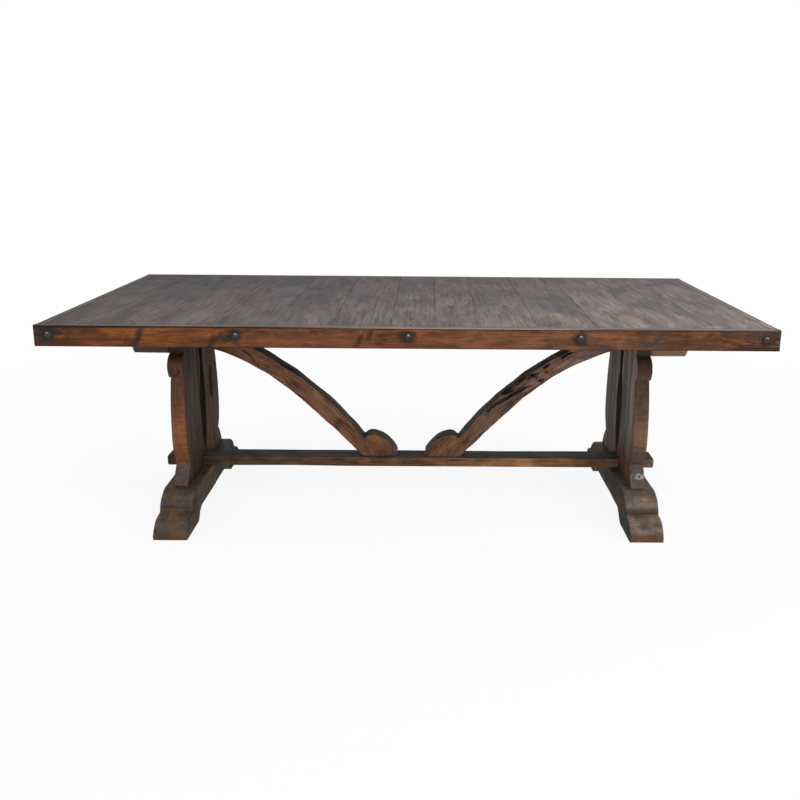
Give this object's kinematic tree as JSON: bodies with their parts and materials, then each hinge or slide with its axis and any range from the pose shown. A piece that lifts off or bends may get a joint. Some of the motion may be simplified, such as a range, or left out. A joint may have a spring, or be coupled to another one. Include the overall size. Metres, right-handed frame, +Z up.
{
  "type": "trestle dining table",
  "caption": "Long dining table in reclaimed timber: planked top, lyre-shaped trestle posts on scrolled feet, a through stretcher and curved braces.",
  "frame": {"origin": "on the floor, below the middle of the top", "axes": "+X along the table, -Y towards the front, +Z up"},
  "size_m": [2.302, 1.083, 0.776],
  "materials": {
    "top_wood": "dark grey-brown stain, worn and lightly waxed",
    "edge_wood": "warm red-brown stain over reclaimed timber, satin",
    "under_wood": "dark brown stain, sawn and unpolished",
    "post_wood": "brown stain, waxed, with dark drying cracks",
    "foot_wood": "dark brown stain, worn paler on the lobes",
    "stretcher_wood": "dark brown stain with golden-brown worn edges",
    "brace_wood": "red-brown stain, waxed, with splits and knots",
    "stud_iron": "blackened, hammered, satin",
    "nail_iron": "black oxide",
    "plug_wood": "pale end grain in dark stain",
    "fastener_steel": "zinc plated"
  },
  "bodies": {
    "root": {"arm_screws": "fastener_steel", "bearer_arm_left_front": "under_wood", "bearer_arm_left_rear": "under_wood", "bearer_arm_right_front": "under_wood", "bearer_arm_right_rear": "under_wood", "brace_bolts": "fastener_steel", "brace_left": "brace_wood", "brace_right": "brace_wood", "brace_screws": "fastener_steel", "edge_board_back": "edge_wood", "edge_board_front": "edge_wood", "edge_board_left": "edge_wood", "edge_board_right": "edge_wood", "foot_left": "foot_wood", "foot_right": "foot_wood", "head_bolts": "fastener_steel", "head_rail_left": "under_wood", "head_rail_right": "under_wood", "heel_plugs": "plug_wood", "ledger_back": "under_wood", "ledger_front": "under_wood", "ledger_left": "under_wood", "ledger_right": "under_wood", "plank_nails": "nail_iron", "post_left_front": "post_wood", "post_left_rear": "post_wood", "post_right_front": "post_wood", "post_right_rear": "post_wood", "stretcher": "stretcher_wood", "studs_back": "stud_iron", "studs_front": "stud_iron", "studs_left": "stud_iron", "studs_right": "stud_iron", "top_plank_01": "top_wood", "top_plank_02": "top_wood", "top_plank_03": "top_wood", "top_plank_04": "top_wood", "top_plank_05": "top_wood", "top_plank_06": "top_wood", "top_plank_07": "top_wood", "top_plank_08": "top_wood", "top_plank_09": "top_wood", "top_plank_10": "top_wood", "top_plank_11": "top_wood", "top_plank_12": "top_wood", "top_plank_13": "top_wood", "top_rail_back": "under_wood", "top_rail_centre": "under_wood", "top_rail_front": "under_wood"}
  },
  "joints": []
}
